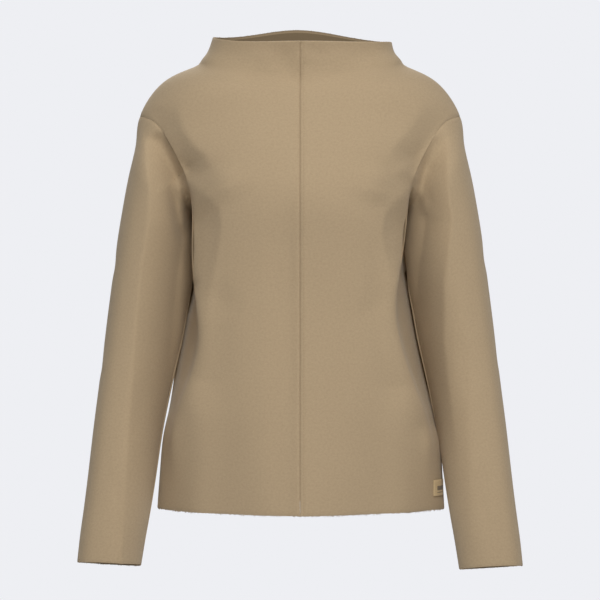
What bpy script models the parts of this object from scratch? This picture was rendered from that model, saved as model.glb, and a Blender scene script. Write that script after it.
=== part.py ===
"""Funnel-neck pullover in tan cloth, filled out as when worn, with nobody in it.

Two fronts meet in a centre seam, the back is one piece, and all three carry their share of the
funnel neck, so there is no collar band. The long plain sleeves are set into dropped armholes.
Neck edge, cuffs and hem are raw cut. Metres, +Z up, front towards -Y, wearer's left at +X.
The origin lies between the shoulders, where the wearer carries the garment.
"""

from collections import namedtuple
from math import cos, pi, sin

import bmesh
import bpy
import numpy as np
from mathutils import Vector
from mathutils.bvhtree import BVHTree

MM = 0.001
WALL = 2.0 * MM
SEAM_GAP = 0.3 * MM
LONGEST_MITRE = 1.5
TIGHTEST_CORNER = 0.5

# Steps across a half panel above the armpit: the neck's share and the shoulder's.
NECK_STEPS = 3
SHOULDER_STEPS = 2
CHEST_STEPS = NECK_STEPS + SHOULDER_STEPS
OUTWARD_CROWDING = 0.9
CLIMB_SCALE = 27 / 4  # the curve share**2 * (1 - share) peaks at 4 / 27
SMOOTHING = 1
FITTING_ROUNDS = 4

# Heights of the rows from hem to just below the armhole, in millimetres.
BODY_HEIGHTS = (-550, -502, -458, -416, -376, -337, -297, -256, -212, -172)

# Centre line and the back's corner. A power says how flat the panel stays before it turns.
Body = namedtuple("Body", "z front_y front_power back_y back_power corner_x corner_y")
BODY = (
    Body(-550, -124, 1.7, 112, 1.9, 150, 70),
    Body(-450, -118, 2.0, 104, 2.0, 146, 66),
    Body(-350, -112, 2.4, 96, 2.3, 128, 64),
    Body(-290, -111, 2.6, 94, 2.4, 120, 63),
    Body(-220, -117, 2.5, 97, 2.4, 120, 67),
    Body(-170, -126, 2.4, 101, 2.4, 130, 71),
    Body(-138, -125, 2.4, 104, 2.4, 146, 68),
)
BACK_CORNER_BULGE = (5.0, 2.0)

# The fold where the front turns to the side, the hollow behind it, and the side seam.
Side = namedtuple("Side", "z ridge_x ridge_y hollow_x hollow_y seam_x seam_y")
SIDES = {
    "left": (
        Side(-550, 153, -42, 174, -12, 188, 18),
        Side(-500, 158, -43, 174, -13, 185, 18),
        Side(-455, 162, -46, 172, -14, 181.5, 20),
        Side(-420, 155, -57, 163, -20, 174, 22),
        Side(-385, 144, -68, 149, -26, 168, 26),
        Side(-350, 132, -75, 137, -29, 160.5, 28),
        Side(-315, 125, -78, 129, -31, 153.5, 30),
        Side(-285, 121, -80, 125, -32, 148.5, 31),
        Side(-250, 126, -80, 126, -31, 143.5, 32),
        Side(-215, 132, -79, 128, -29, 141, 31),
        Side(-170, 137, -74, 132, -30, 137.5, 18),
    ),
    "right": (
        Side(-550, 152, -42, 173, -12, 186, 18),
        Side(-500, 156, -43, 172, -13, 182, 18),
        Side(-455, 160, -46, 169, -14, 178, 20),
        Side(-420, 153, -58, 161, -20, 171, 22),
        Side(-385, 141, -68, 148, -26, 166.5, 26),
        Side(-350, 131, -74, 138, -28, 160, 28),
        Side(-315, 128, -77, 133, -30, 153.5, 30),
        Side(-280, 133, -79, 133, -30, 147.5, 31),
        Side(-250, 136, -79, 133, -29, 143.5, 32),
        Side(-215, 138, -79, 132, -28, 141, 31),
        Side(-170, 137, -74, 134, -30, 138, 18),
    ),
}

# Rows from the armpit to the shoulder seam: centre line, point on the armhole, and how far
# the row climbs over the shoulder between them.
Chest = namedtuple("Chest", "centre_y centre_z edge_x edge_y edge_z power lift")
CHEST = {
    "front": (
        Chest(-125, -138, 143, -62, -131, 2.4, 0),
        Chest(-115.5, -105, 153, -68, -105, 2.4, 0),
        Chest(-105, -73, 166, -64, -80, 2.3, 0),
        Chest(-93, -42, 181, -50, -57, 2.2, 6),
        Chest(-81, -13, 196, -27, -46, 2.0, 24),
    ),
    "back": (
        Chest(104, -138, 146, 68, -133, 2.4, 0),
        Chest(107, -104, 156, 76, -106, 2.4, 0),
        Chest(107, -70, 168, 73, -80, 2.3, 0),
        Chest(101, -36, 182, 59, -57, 2.2, 6),
        Chest(86, -2, 197, 34, -46, 2.0, 24),
    ),
}
SHOULDER_POINT = (209, 5, -42)
SHOULDER_MIDDLE = (179.5, 6, 4)
UNDERARM = {"left": (137, 9, -153), "right": (137.5, 9, -153)}
ARMPIT_CORNER = {"front": (139, -31, -147), "back": (140, 45, -148)}

# The funnel neck from its base to the raw edge. A side is given for each half.
Neck = namedtuple("Neck", "front_y front_z side_x side_y side_z back_y back_z squareness")
NECK = {
    "left": (
        Neck(-72.5, 13, 135, 5, 26.5, 73, 30, 2.1),
        Neck(-70.5, 31, 124.5, 4, 40, 69, 52, 2.1),
        Neck(-75.5, 48.5, 119.5, 3, 55.5, 72, 78.5, 2.1),
    ),
    "right": (
        Neck(-72.5, 13, 132, 5, 26.5, 73, 30, 2.1),
        Neck(-70.5, 31, 121.5, 4, 41, 69, 52, 2.1),
        Neck(-75.5, 48.5, 113.5, 3, 62, 72, 78.5, 2.1),
    ),
}
# The raw edge stays level across the front and lifts close to its corners, and behind it
# rises in a hump. The funnel's lower rows fall away evenly.
EDGE_LIFT = 6
HUMP_SHARE = 0.72
HUMP_POWER = 2.9
CORNER_POWER = 8
NECK_HUMP = 2.2

# Sleeve rings below the armhole: outer and inner arm lines, front and back, and how much
# higher the front of a ring is than its back as the forearm leans forward.
Ring = namedtuple("Ring", "outer_z inner_z outer_x inner_x front_y back_y front_rise")
SLEEVE = (
    Ring(-76, -174, 213, 140, -68, 76, 0),
    Ring(-116, -198, 222, 139.5, -68, 75, 0),
    Ring(-160, -228, 230, 139.5, -67, 72, 0),
    Ring(-206, -258, 237.5, 140.5, -65, 69, 0),
    Ring(-254, -292, 243.5, 146.3, -63, 66, 4),
    Ring(-302, -328, 249.5, 152.5, -62, 61, 8),
    Ring(-350, -366, 255, 161, -63, 53, 10),
    Ring(-398, -408, 260.5, 170, -67, 42, 11),
    Ring(-446, -454, 266, 178.5, -73, 30, 11),
    Ring(-496, -502, 271, 185, -80, 17, 10),
    Ring(-546, -550, 276.5, 192, -86, 5, 9),
    Ring(-582, -586, 281, 198, -90, -4, 8),
    Ring(-617, -622, 284.5, 203.5, -92, -11, 7),
)
CUFF_DROP = {"left": 1.2, "right": -1.2}

# The woven tab beside the left side seam, above the hem.
LABEL_LEFT = 171.0
LABEL_RIGHT = 184.5
LABEL_TOP = -511.5
LABEL_BOTTOM = -532.5
LABEL_ACROSS = 10
LABEL_UP = 6
LABEL_CLEARANCE = 0.45 * MM
LABEL_WALL = 0.7 * MM

CLOTH_COLOUR = (0.40, 0.31, 0.195, 1.0)
LABEL_COLOUR = (0.56, 0.44, 0.25, 1.0)
CLOTH_ROUGHNESS = 0.9

PIECES = ("front_left", "front_right", "back", "sleeve_left", "sleeve_right")


def smooth_value(table, name, z):
    """A table's column read at height z, on a smooth curve through its rows."""
    rows = sorted(table, key=lambda row: row.z)
    heights = np.array([row.z for row in rows], float)
    values = np.array([getattr(row, name) for row in rows], float)
    slopes = np.gradient(values, heights)
    at = int(np.clip(np.searchsorted(heights, z) - 1, 0, len(rows) - 2))
    span = heights[at + 1] - heights[at]
    t = (z - heights[at]) / span
    return (
        values[at] * (1 + 2 * t) * (1 - t) ** 2
        + values[at + 1] * t * t * (3 - 2 * t)
        + slopes[at] * span * t * (1 - t) ** 2
        + slopes[at + 1] * span * t * t * (t - 1)
    )


def body_row(face, side, z):
    """From the centre line out to the fold or corner, then across the side to its seam."""
    ridge_x, ridge_y, hollow_x, hollow_y, seam_x, seam_y = (
        smooth_value(SIDES[side], name, z) for name in Side._fields[1:]
    )
    centre_y = smooth_value(BODY, face + "_y", z)
    power = smooth_value(BODY, face + "_power", z)
    turn = Vector((ridge_x, ridge_y))
    beyond = Vector((hollow_x, hollow_y))
    seam = Vector((seam_x, seam_y))
    if face == "back":
        turn = Vector((smooth_value(BODY, "corner_x", z), smooth_value(BODY, "corner_y", z)))
        beyond = turn.lerp(seam, 0.5) + Vector(BACK_CORNER_BULGE)
    row = []
    for step in range(CHEST_STEPS + 1):
        share = (step / CHEST_STEPS) ** OUTWARD_CROWDING
        y = centre_y + (turn.y - centre_y) * share**power
        row.append((turn.x * share, y, z))
    return row + [(beyond.x, beyond.y, z), (seam.x, seam.y, z)]


def chest_row(chest):
    """From the centre line to the armhole."""
    row = []
    for step in range(CHEST_STEPS + 1):
        share = (step / CHEST_STEPS) ** OUTWARD_CROWDING
        climb = chest.lift * CLIMB_SCALE * share**2 * (1 - share)
        row.append(
            (
                chest.edge_x * share,
                chest.centre_y + (chest.edge_y - chest.centre_y) * share**chest.power,
                chest.centre_z + (chest.edge_z - chest.centre_z) * share**2 + climb,
            )
        )
    return row


def neck_row(face, neck, raw_edge=False):
    """A quarter of the funnel, from the centre line to the neck's side seam."""
    centre_y = getattr(neck, face + "_y")
    centre_z = getattr(neck, face + "_z")
    row = []
    for step in range(NECK_STEPS + 1):
        angle = pi / 2 * step / NECK_STEPS
        x = neck.side_x * sin(angle) ** (2 / neck.squareness)
        depth = (centre_y - neck.side_y) * max(cos(angle), 0.0) ** (2 / neck.squareness)
        out = x / neck.side_x
        fall = out**2 if face == "front" else 1 - (1 - out**2) ** NECK_HUMP
        if raw_edge and face == "front":
            fall = out**EDGE_LIFT
        elif raw_edge:
            fall = HUMP_SHARE * (1 - (1 - out**2) ** HUMP_POWER)
            fall += (1 - HUMP_SHARE) * out**CORNER_POWER
        row.append((x, neck.side_y + depth, centre_z + (neck.side_z - centre_z) * fall))
    return row


def half_panel(face, side):
    """Rows of points for a half of the front or back, hem first, on the +X side."""
    rows = [body_row(face, side, z) for z in BODY_HEIGHTS]
    armpit, *higher = CHEST[face]
    rows.append(chest_row(armpit) + [ARMPIT_CORNER[face], UNDERARM[side]])
    rows += [chest_row(chest) for chest in higher]
    base, *funnel = NECK[side]
    rows.append(neck_row(face, base) + [SHOULDER_MIDDLE, SHOULDER_POINT])
    rows += [neck_row(face, neck, neck is funnel[-1]) for neck in funnel]
    return rows


def armhole(side):
    """The loop that the torso and the sleeve share, from the shoulder round by the front."""
    front = [row[-1] for row in map(chest_row, CHEST["front"])]
    back = [row[-1] for row in map(chest_row, CHEST["back"])]
    below = [ARMPIT_CORNER["front"], UNDERARM[side], ARMPIT_CORNER["back"]]
    return [SHOULDER_POINT] + front[::-1] + below + back


def sleeve_ring(ring, count, drop):
    """One ring of the sleeve, its points in step with the armhole's."""
    points = []
    for step in range(count):
        angle = 2 * pi * step / count
        outward = cos(angle)
        forward = sin(angle)
        points.append(
            (
                (ring.outer_x + ring.inner_x) / 2 + (ring.outer_x - ring.inner_x) / 2 * outward,
                (ring.front_y + ring.back_y) / 2 - (ring.back_y - ring.front_y) / 2 * forward,
                (ring.outer_z + ring.inner_z) / 2
                + (ring.outer_z - ring.inner_z) / 2 * outward
                + ring.front_rise * forward
                - drop,
            )
        )
    return points


class Skin:
    """The garment's outer face as one sheet of quads, with the points of a seam shared."""

    def __init__(self):
        self.points = []
        self.faces = []
        self.pieces = []
        self.known = {}

    def corner(self, place, mirror):
        place = (place[0] * mirror, place[1], place[2])
        key = tuple(round(value + 0.0, 2) for value in place)
        if key not in self.known:
            self.known[key] = len(self.points)
            self.points.append([value * MM for value in place])
        return self.known[key]

    def add(self, piece, rows, mirror, turned, closed=False):
        for lower, upper in zip(rows, rows[1:]):
            width = min(len(lower), len(upper))
            for here in range(width if closed else width - 1):
                there = (here + 1) % width
                quad = [lower[here], lower[there], upper[there], upper[here]]
                quad = [self.corner(place, mirror) for place in quad]
                self.faces.append(quad[::-1] if turned else quad)
                self.pieces.append(PIECES.index(piece))


def lay_out_skin():
    """Every piece's quads, both sides of the body."""
    skin = Skin()
    for side, mirror in (("left", 1), ("right", -1)):
        swapped = mirror < 0
        skin.add("front_" + side, half_panel("front", side), mirror, swapped)
        skin.add("back", half_panel("back", side), mirror, not swapped)
        loop = armhole(side)
        rings = [loop]
        for number, ring in enumerate(SLEEVE, start=1):
            drop = CUFF_DROP[side] * (number / len(SLEEVE)) ** 2
            rings.append(sleeve_ring(ring, len(loop), drop))
        skin.add("sleeve_" + side, rings, mirror, swapped, closed=True)
    return skin


def rounded(points, skin):
    """A new mesh of the skin, rounded from its coarse points."""
    mesh = bpy.data.meshes.new("skin")
    mesh.from_pydata(points.tolist(), [], skin.faces)
    mesh.attributes.new("piece", "INT", "FACE").data.foreach_set("value", skin.pieces)
    carrier = bpy.data.objects.new("skin", mesh)
    bpy.context.scene.collection.objects.link(carrier)
    subdivision = carrier.modifiers.new("rounding", "SUBSURF")
    subdivision.levels = SMOOTHING
    subdivision.render_levels = SMOOTHING
    depsgraph = bpy.context.evaluated_depsgraph_get()
    result = bpy.data.meshes.new_from_object(carrier.evaluated_get(depsgraph))
    bpy.data.objects.remove(carrier)
    bpy.data.meshes.remove(mesh)
    return result


def fitted_skin():
    """The rounded skin, its coarse points pushed out until it passes through the tables'."""
    skin = lay_out_skin()
    wanted = np.array(skin.points)
    points = wanted.copy()
    for _ in range(FITTING_ROUNDS):
        mesh = rounded(points, skin)
        reached = np.array([mesh.vertices[at].co for at in range(len(points))])
        bpy.data.meshes.remove(mesh)
        points += wanted - reached
    return rounded(points, skin)


def seam_shift(vertex, piece, layer, normal):
    """How far a corner of a piece draws back from the seams that end or pass there."""
    inward = []
    for edge in vertex.link_edges:
        own = [face for face in edge.link_faces if face[layer] == piece]
        if len(own) != 1 or len(edge.link_faces) != 2:
            continue
        along = (edge.verts[1].co - edge.verts[0].co).normalized()
        away = own[0].calc_center_median() - vertex.co
        away -= along * away.dot(along)
        away -= normal * away.dot(normal)
        inward.append(away.normalized())
    if not inward:
        return Vector()
    total = sum(inward, Vector())
    return total * (SEAM_GAP / 2 * len(inward) / max(total.length_squared, TIGHTEST_CORNER))


def wall(name, skin, piece):
    """A closed wall from a piece's faces of the skin, drawn back a little at its seams."""
    layer = skin.faces.layers.int["piece"]
    faces = [face for face in skin.faces if face[layer] == piece]
    solid = bmesh.new()
    outer, inner = {}, {}
    for vertex in sorted({v for face in faces for v in face.verts}, key=lambda v: v.index):
        normal = vertex.normal
        place = vertex.co + seam_shift(vertex, piece, layer, normal)
        depth = WALL * min(vertex.calc_shell_factor(), LONGEST_MITRE)
        outer[vertex] = solid.verts.new(place)
        inner[vertex] = solid.verts.new(place - normal * depth)
    for face in faces:
        solid.faces.new([outer[v] for v in face.verts])
        solid.faces.new([inner[v] for v in reversed(face.verts)])
        for loop in face.loops:
            own = [other for other in loop.edge.link_faces if other[layer] == piece]
            if len(own) == 1:
                start, end = loop.vert, loop.link_loop_next.vert
                if start.index < end.index:
                    solid.faces.new([outer[end], outer[start], inner[start]])
                    solid.faces.new([outer[end], inner[start], inner[end]])
                else:
                    solid.faces.new([outer[end], outer[start], inner[end]])
                    solid.faces.new([outer[start], inner[start], inner[end]])
    mesh = bpy.data.meshes.new(name)
    solid.to_mesh(mesh)
    solid.free()
    return mesh


def label_mesh(skin):
    """A thin plate made from the front's points, moved out."""
    tree = BVHTree.FromBMesh(skin)
    solid = bmesh.new()
    layers = []
    for lift in (LABEL_CLEARANCE, LABEL_CLEARANCE + LABEL_WALL):
        grid = []
        for up in range(LABEL_UP + 1):
            z = LABEL_BOTTOM + (LABEL_TOP - LABEL_BOTTOM) * up / LABEL_UP
            row = []
            for across in range(LABEL_ACROSS + 1):
                x = LABEL_LEFT + (LABEL_RIGHT - LABEL_LEFT) * across / LABEL_ACROSS
                hit, normal, _, _ = tree.ray_cast(Vector((x * MM, -1, z * MM)), Vector((0, 1, 0)))
                row.append(solid.verts.new(hit + normal * lift))
            grid.append(row)
        layers.append(grid)
    below, above = layers
    for up in range(LABEL_UP):
        for across in range(LABEL_ACROSS):
            corners = ((up, across), (up, across + 1), (up + 1, across + 1), (up + 1, across))
            solid.faces.new([above[i][j] for i, j in corners])
            solid.faces.new([below[i][j] for i, j in reversed(corners)])
    border = [(0, j) for j in range(LABEL_ACROSS)]
    border += [(i, LABEL_ACROSS) for i in range(LABEL_UP)]
    border += [(LABEL_UP, j) for j in range(LABEL_ACROSS, 0, -1)]
    border += [(i, 0) for i in range(LABEL_UP, 0, -1)]
    for (i, j), (k, m) in zip(border, border[1:] + border[:1]):
        solid.faces.new([above[k][m], above[i][j], below[i][j], below[k][m]])
    mesh = bpy.data.meshes.new("label")
    solid.to_mesh(mesh)
    solid.free()
    return mesh


def material(name, colour):
    """Plain cloth of one colour."""
    made = bpy.data.materials.new(name)
    made.use_nodes = True
    shader = made.node_tree.nodes["Principled BSDF"]
    shader.inputs["Base Color"].default_value = colour
    shader.inputs["Roughness"].default_value = CLOTH_ROUGHNESS
    shader.inputs["Metallic"].default_value = 0.0
    return made


def place(name, mesh, colour, collection):
    """One object of the garment, with its own material."""
    mesh.materials.clear()
    mesh.materials.append(material(name + "_cloth", colour))
    mesh.shade_smooth()
    collection.objects.link(bpy.data.objects.new(name, mesh))


for old in list(bpy.data.objects):
    bpy.data.objects.remove(old)

sweatshirt = bpy.data.collections.new("sweatshirt")
bpy.context.scene.collection.children.link(sweatshirt)

skin_mesh = fitted_skin()
outside = bmesh.new()
outside.from_mesh(skin_mesh)
bmesh.ops.triangulate(outside, faces=outside.faces)
outside.normal_update()
outside.verts.index_update()
for number, piece_name in enumerate(PIECES):
    place(piece_name, wall(piece_name, outside, number), CLOTH_COLOUR, sweatshirt)
place("label", label_mesh(outside), LABEL_COLOUR, sweatshirt)
outside.free()
bpy.data.meshes.remove(skin_mesh)
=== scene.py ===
"""Funnel-neck pullover in heavy tan cloth, filled out as when worn.

The raw-cut cloth, its folds, seams, stitching and loose fibres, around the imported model.
Metres, +Z up, front towards -Y, wearer's left at +X.
"""

import random
from collections import namedtuple
from math import cos, pi, sin

import bmesh
import bpy
import numpy as np
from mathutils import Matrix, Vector
from mathutils.bvhtree import BVHTree
from mathutils.kdtree import KDTree


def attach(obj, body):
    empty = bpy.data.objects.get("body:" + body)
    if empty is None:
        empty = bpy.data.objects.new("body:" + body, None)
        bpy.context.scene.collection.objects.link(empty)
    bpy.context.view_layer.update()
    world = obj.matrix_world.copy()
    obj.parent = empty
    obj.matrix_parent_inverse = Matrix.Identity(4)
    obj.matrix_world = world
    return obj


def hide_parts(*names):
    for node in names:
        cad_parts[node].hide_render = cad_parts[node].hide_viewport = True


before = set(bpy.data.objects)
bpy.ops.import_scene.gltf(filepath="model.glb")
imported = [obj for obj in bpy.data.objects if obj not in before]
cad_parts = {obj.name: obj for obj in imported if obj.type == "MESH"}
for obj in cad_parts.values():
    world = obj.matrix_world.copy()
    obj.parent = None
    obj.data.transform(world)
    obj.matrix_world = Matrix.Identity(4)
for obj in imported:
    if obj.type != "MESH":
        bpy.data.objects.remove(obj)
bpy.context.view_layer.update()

# ---------------------------------------------------------------------------------------
# Fronts. Two mirrored halves of heavy tan cloth, each with its half of the funnel neck
# grown on, cut from the centre line out to the side seam, armhole and shoulder.
# ---------------------------------------------------------------------------------------

MM = 0.001
NECK_STEPS = 3
SHOULDER_STEPS = 2
CHEST_STEPS = NECK_STEPS + SHOULDER_STEPS
OUTWARD_CROWDING = 0.9
CLIMB_SCALE = 27 / 4  # the curve share**2 * (1 - share) peaks at 4 / 27
PIECES = ("front_left", "front_right", "back", "sleeve_left", "sleeve_right")

# Heights of the rows from hem to just below the armhole, in millimetres.
BODY_HEIGHTS = (-550, -502, -458, -416, -376, -337, -297, -256, -212, -172)

# Centre line and the back's corner. A power says how flat the panel stays before it turns.
Body = namedtuple("Body", "z front_y front_power back_y back_power corner_x corner_y")
BODY = (
    Body(-550, -124, 1.7, 112, 1.9, 150, 70),
    Body(-450, -118, 2.0, 104, 2.0, 146, 66),
    Body(-350, -112, 2.4, 96, 2.3, 128, 64),
    Body(-290, -111, 2.6, 94, 2.4, 120, 63),
    Body(-220, -117, 2.5, 97, 2.4, 120, 67),
    Body(-170, -126, 2.4, 101, 2.4, 130, 71),
    Body(-138, -125, 2.4, 104, 2.4, 146, 68),
)
BACK_CORNER_BULGE = (5.0, 2.0)

# The fold where the front turns to the side, the hollow behind it, and the side seam.
Side = namedtuple("Side", "z ridge_x ridge_y hollow_x hollow_y seam_x seam_y")
SIDES = {
    "left": (
        Side(-550, 153, -42, 174, -12, 188, 18),
        Side(-500, 158, -43, 174, -13, 185, 18),
        Side(-455, 162, -46, 172, -14, 181.5, 20),
        Side(-420, 155, -57, 163, -20, 174, 22),
        Side(-385, 144, -68, 149, -26, 168, 26),
        Side(-350, 132, -75, 137, -29, 160.5, 28),
        Side(-315, 125, -78, 129, -31, 153.5, 30),
        Side(-285, 121, -80, 125, -32, 148.5, 31),
        Side(-250, 126, -80, 126, -31, 143.5, 32),
        Side(-215, 132, -79, 128, -29, 141, 31),
        Side(-170, 137, -74, 132, -30, 137.5, 18),
    ),
    "right": (
        Side(-550, 152, -42, 173, -12, 186, 18),
        Side(-500, 156, -43, 172, -13, 182, 18),
        Side(-455, 160, -46, 169, -14, 178, 20),
        Side(-420, 153, -58, 161, -20, 171, 22),
        Side(-385, 141, -68, 148, -26, 166.5, 26),
        Side(-350, 131, -74, 138, -28, 160, 28),
        Side(-315, 128, -77, 133, -30, 153.5, 30),
        Side(-280, 133, -79, 133, -30, 147.5, 31),
        Side(-250, 136, -79, 133, -29, 143.5, 32),
        Side(-215, 138, -79, 132, -28, 141, 31),
        Side(-170, 137, -74, 134, -30, 138, 18),
    ),
}

# Rows from the armpit to the shoulder seam: centre line, point on the armhole, and how far
# the row climbs over the shoulder between them.
Chest = namedtuple("Chest", "centre_y centre_z edge_x edge_y edge_z power lift")
FRONT_CHEST = (
    Chest(-125, -138, 143, -62, -131, 2.4, 0),
    Chest(-115.5, -105, 153, -68, -105, 2.4, 0),
    Chest(-105, -73, 166, -64, -80, 2.3, 0),
    Chest(-93, -42, 181, -50, -57, 2.2, 6),
    Chest(-81, -13, 196, -27, -46, 2.0, 24),
)
SHOULDER_POINT = (209, 5, -42)
SHOULDER_MIDDLE = (179.5, 6, 4)
UNDERARM = {"left": (137, 9, -153), "right": (137.5, 9, -153)}
FRONT_ARMPIT = (139, -31, -147)

# The funnel neck from its base to the raw edge. A side is given for each half.
Neck = namedtuple("Neck", "front_y front_z side_x side_y side_z back_y back_z squareness")
NECK = {
    "left": (
        Neck(-72.5, 13, 135, 5, 26.5, 73, 30, 2.1),
        Neck(-70.5, 31, 124.5, 4, 40, 69, 52, 2.1),
        Neck(-75.5, 48.5, 119.5, 3, 55.5, 72, 78.5, 2.1),
    ),
    "right": (
        Neck(-72.5, 13, 132, 5, 26.5, 73, 30, 2.1),
        Neck(-70.5, 31, 121.5, 4, 41, 69, 52, 2.1),
        Neck(-75.5, 48.5, 113.5, 3, 62, 72, 78.5, 2.1),
    ),
}
# The raw edge stays level across the front and lifts close to its corners, and behind it
# rises in a hump. The funnel's lower rows fall away evenly.
EDGE_LIFT = 6
HUMP_SHARE = 0.72
HUMP_POWER = 2.9
CORNER_POWER = 8
NECK_HUMP = 2.2


def smooth_value(table, name, z):
    """A table's column read at height z, on a smooth curve through its rows."""
    rows = sorted(table, key=lambda row: row.z)
    heights = np.array([row.z for row in rows], float)
    values = np.array([getattr(row, name) for row in rows], float)
    slopes = np.gradient(values, heights)
    at = int(np.clip(np.searchsorted(heights, z) - 1, 0, len(rows) - 2))
    span = heights[at + 1] - heights[at]
    t = (z - heights[at]) / span
    return (
        values[at] * (1 + 2 * t) * (1 - t) ** 2
        + values[at + 1] * t * t * (3 - 2 * t)
        + slopes[at] * span * t * (1 - t) ** 2
        + slopes[at + 1] * span * t * t * (t - 1)
    )


def body_row(face, side, z):
    """From the centre line out to the fold or corner, then across the side to its seam."""
    ridge_x, ridge_y, hollow_x, hollow_y, seam_x, seam_y = (
        smooth_value(SIDES[side], name, z) for name in Side._fields[1:]
    )
    centre_y = smooth_value(BODY, face + "_y", z)
    power = smooth_value(BODY, face + "_power", z)
    turn = Vector((ridge_x, ridge_y))
    beyond = Vector((hollow_x, hollow_y))
    seam = Vector((seam_x, seam_y))
    if face == "back":
        turn = Vector((smooth_value(BODY, "corner_x", z), smooth_value(BODY, "corner_y", z)))
        beyond = turn.lerp(seam, 0.5) + Vector(BACK_CORNER_BULGE)
    row = []
    for step in range(CHEST_STEPS + 1):
        share = (step / CHEST_STEPS) ** OUTWARD_CROWDING
        y = centre_y + (turn.y - centre_y) * share**power
        row.append((turn.x * share, y, z))
    return row + [(beyond.x, beyond.y, z), (seam.x, seam.y, z)]


def chest_row(chest):
    """From the centre line to the armhole."""
    row = []
    for step in range(CHEST_STEPS + 1):
        share = (step / CHEST_STEPS) ** OUTWARD_CROWDING
        climb = chest.lift * CLIMB_SCALE * share**2 * (1 - share)
        row.append(
            (
                chest.edge_x * share,
                chest.centre_y + (chest.edge_y - chest.centre_y) * share**chest.power,
                chest.centre_z + (chest.edge_z - chest.centre_z) * share**2 + climb,
            )
        )
    return row


def neck_row(face, neck, raw_edge=False):
    """A quarter of the funnel, from the centre line to the neck's side seam."""
    centre_y = getattr(neck, face + "_y")
    centre_z = getattr(neck, face + "_z")
    row = []
    for step in range(NECK_STEPS + 1):
        angle = pi / 2 * step / NECK_STEPS
        x = neck.side_x * sin(angle) ** (2 / neck.squareness)
        depth = (centre_y - neck.side_y) * max(cos(angle), 0.0) ** (2 / neck.squareness)
        out = x / neck.side_x
        fall = out**2 if face == "front" else 1 - (1 - out**2) ** NECK_HUMP
        if raw_edge and face == "front":
            fall = out**EDGE_LIFT
        elif raw_edge:
            fall = HUMP_SHARE * (1 - (1 - out**2) ** HUMP_POWER)
            fall += (1 - HUMP_SHARE) * out**CORNER_POWER
        row.append((x, neck.side_y + depth, centre_z + (neck.side_z - centre_z) * fall))
    return row


def half_panel(face, side, chest, armpit):
    """Rows of points for a half of the front or back, hem first, on the +X side."""
    rows = [body_row(face, side, z) for z in BODY_HEIGHTS]
    lowest, *higher = chest
    rows.append(chest_row(lowest) + [armpit, UNDERARM[side]])
    rows += [chest_row(row) for row in higher]
    base, *funnel = NECK[side]
    rows.append(neck_row(face, base) + [SHOULDER_MIDDLE, SHOULDER_POINT])
    rows += [neck_row(face, neck, neck is funnel[-1]) for neck in funnel]
    return rows


def lengths(points, closed=False):
    """How far along a run of points each one lies, in metres of cloth."""
    loop = list(points) + ([points[0]] if closed else [])
    runs = [0.0]
    for here, there in zip(loop, loop[1:]):
        runs.append(runs[-1] + (Vector(there) - Vector(here)).length * MM)
    return runs


class Skin:
    """The garment's outer face as one sheet of quads, with the points of a seam shared."""

    def __init__(self):
        self.points = []
        self.faces = []
        self.pieces = []
        self.threads = []
        self.known = {}

    def corner(self, place, mirror):
        place = (place[0] * mirror, place[1], place[2])
        key = tuple(round(value + 0.0, 2) for value in place)
        if key not in self.known:
            self.known[key] = len(self.points)
            self.points.append([value * MM for value in place])
        return self.known[key]

    def add(self, piece, rows, mirror, turned, closed=False):
        """Quads between the rows, and where each corner lies on the flat cloth."""
        up = 0.0
        for lower, upper in zip(rows, rows[1:]):
            width = min(len(lower), len(upper))
            across = lengths(lower[:width], closed)
            rises = [
                (Vector(above) - Vector(below)).length * MM
                for below, above in zip(lower[:width], upper[:width])
            ]
            rise = sum(rises) / len(rises)
            for here in range(width if closed else width - 1):
                there = (here + 1) % width
                quad = [lower[here], lower[there], upper[there], upper[here]]
                quad = [self.corner(place, mirror) for place in quad]
                near, far = across[here] * mirror, across[here + 1] * mirror
                cloth = [(near, up), (far, up), (far, up + rise), (near, up + rise)]
                self.faces.append(quad[::-1] if turned else quad)
                self.threads.append(cloth[::-1] if turned else cloth)
                self.pieces.append(PIECES.index(piece))
            up += rise


skin = Skin()
for side, mirror in (("left", 1), ("right", -1)):
    rows = half_panel("front", side, FRONT_CHEST, FRONT_ARMPIT)
    skin.add("front_" + side, rows, mirror, mirror < 0)

# ---------------------------------------------------------------------------------------
# Back. One wide piece of the same cloth, with the back of the funnel grown on; it meets
# the fronts in the side seams and in shoulder seams that run up the sides of the neck.
# ---------------------------------------------------------------------------------------

BACK_CHEST = (
    Chest(104, -138, 146, 68, -133, 2.4, 0),
    Chest(107, -104, 156, 76, -106, 2.4, 0),
    Chest(107, -70, 168, 73, -80, 2.3, 0),
    Chest(101, -36, 182, 59, -57, 2.2, 6),
    Chest(86, -2, 197, 34, -46, 2.0, 24),
)
BACK_ARMPIT = (140, 45, -148)

for side, mirror in (("left", 1), ("right", -1)):
    rows = half_panel("back", side, BACK_CHEST, BACK_ARMPIT)
    skin.add("back", rows, mirror, mirror > 0)

# ---------------------------------------------------------------------------------------
# Sleeves. Long plain tubes, each cut in one piece and joined along the underarm, set into
# dropped armholes and left raw at the cuff.
# ---------------------------------------------------------------------------------------

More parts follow.
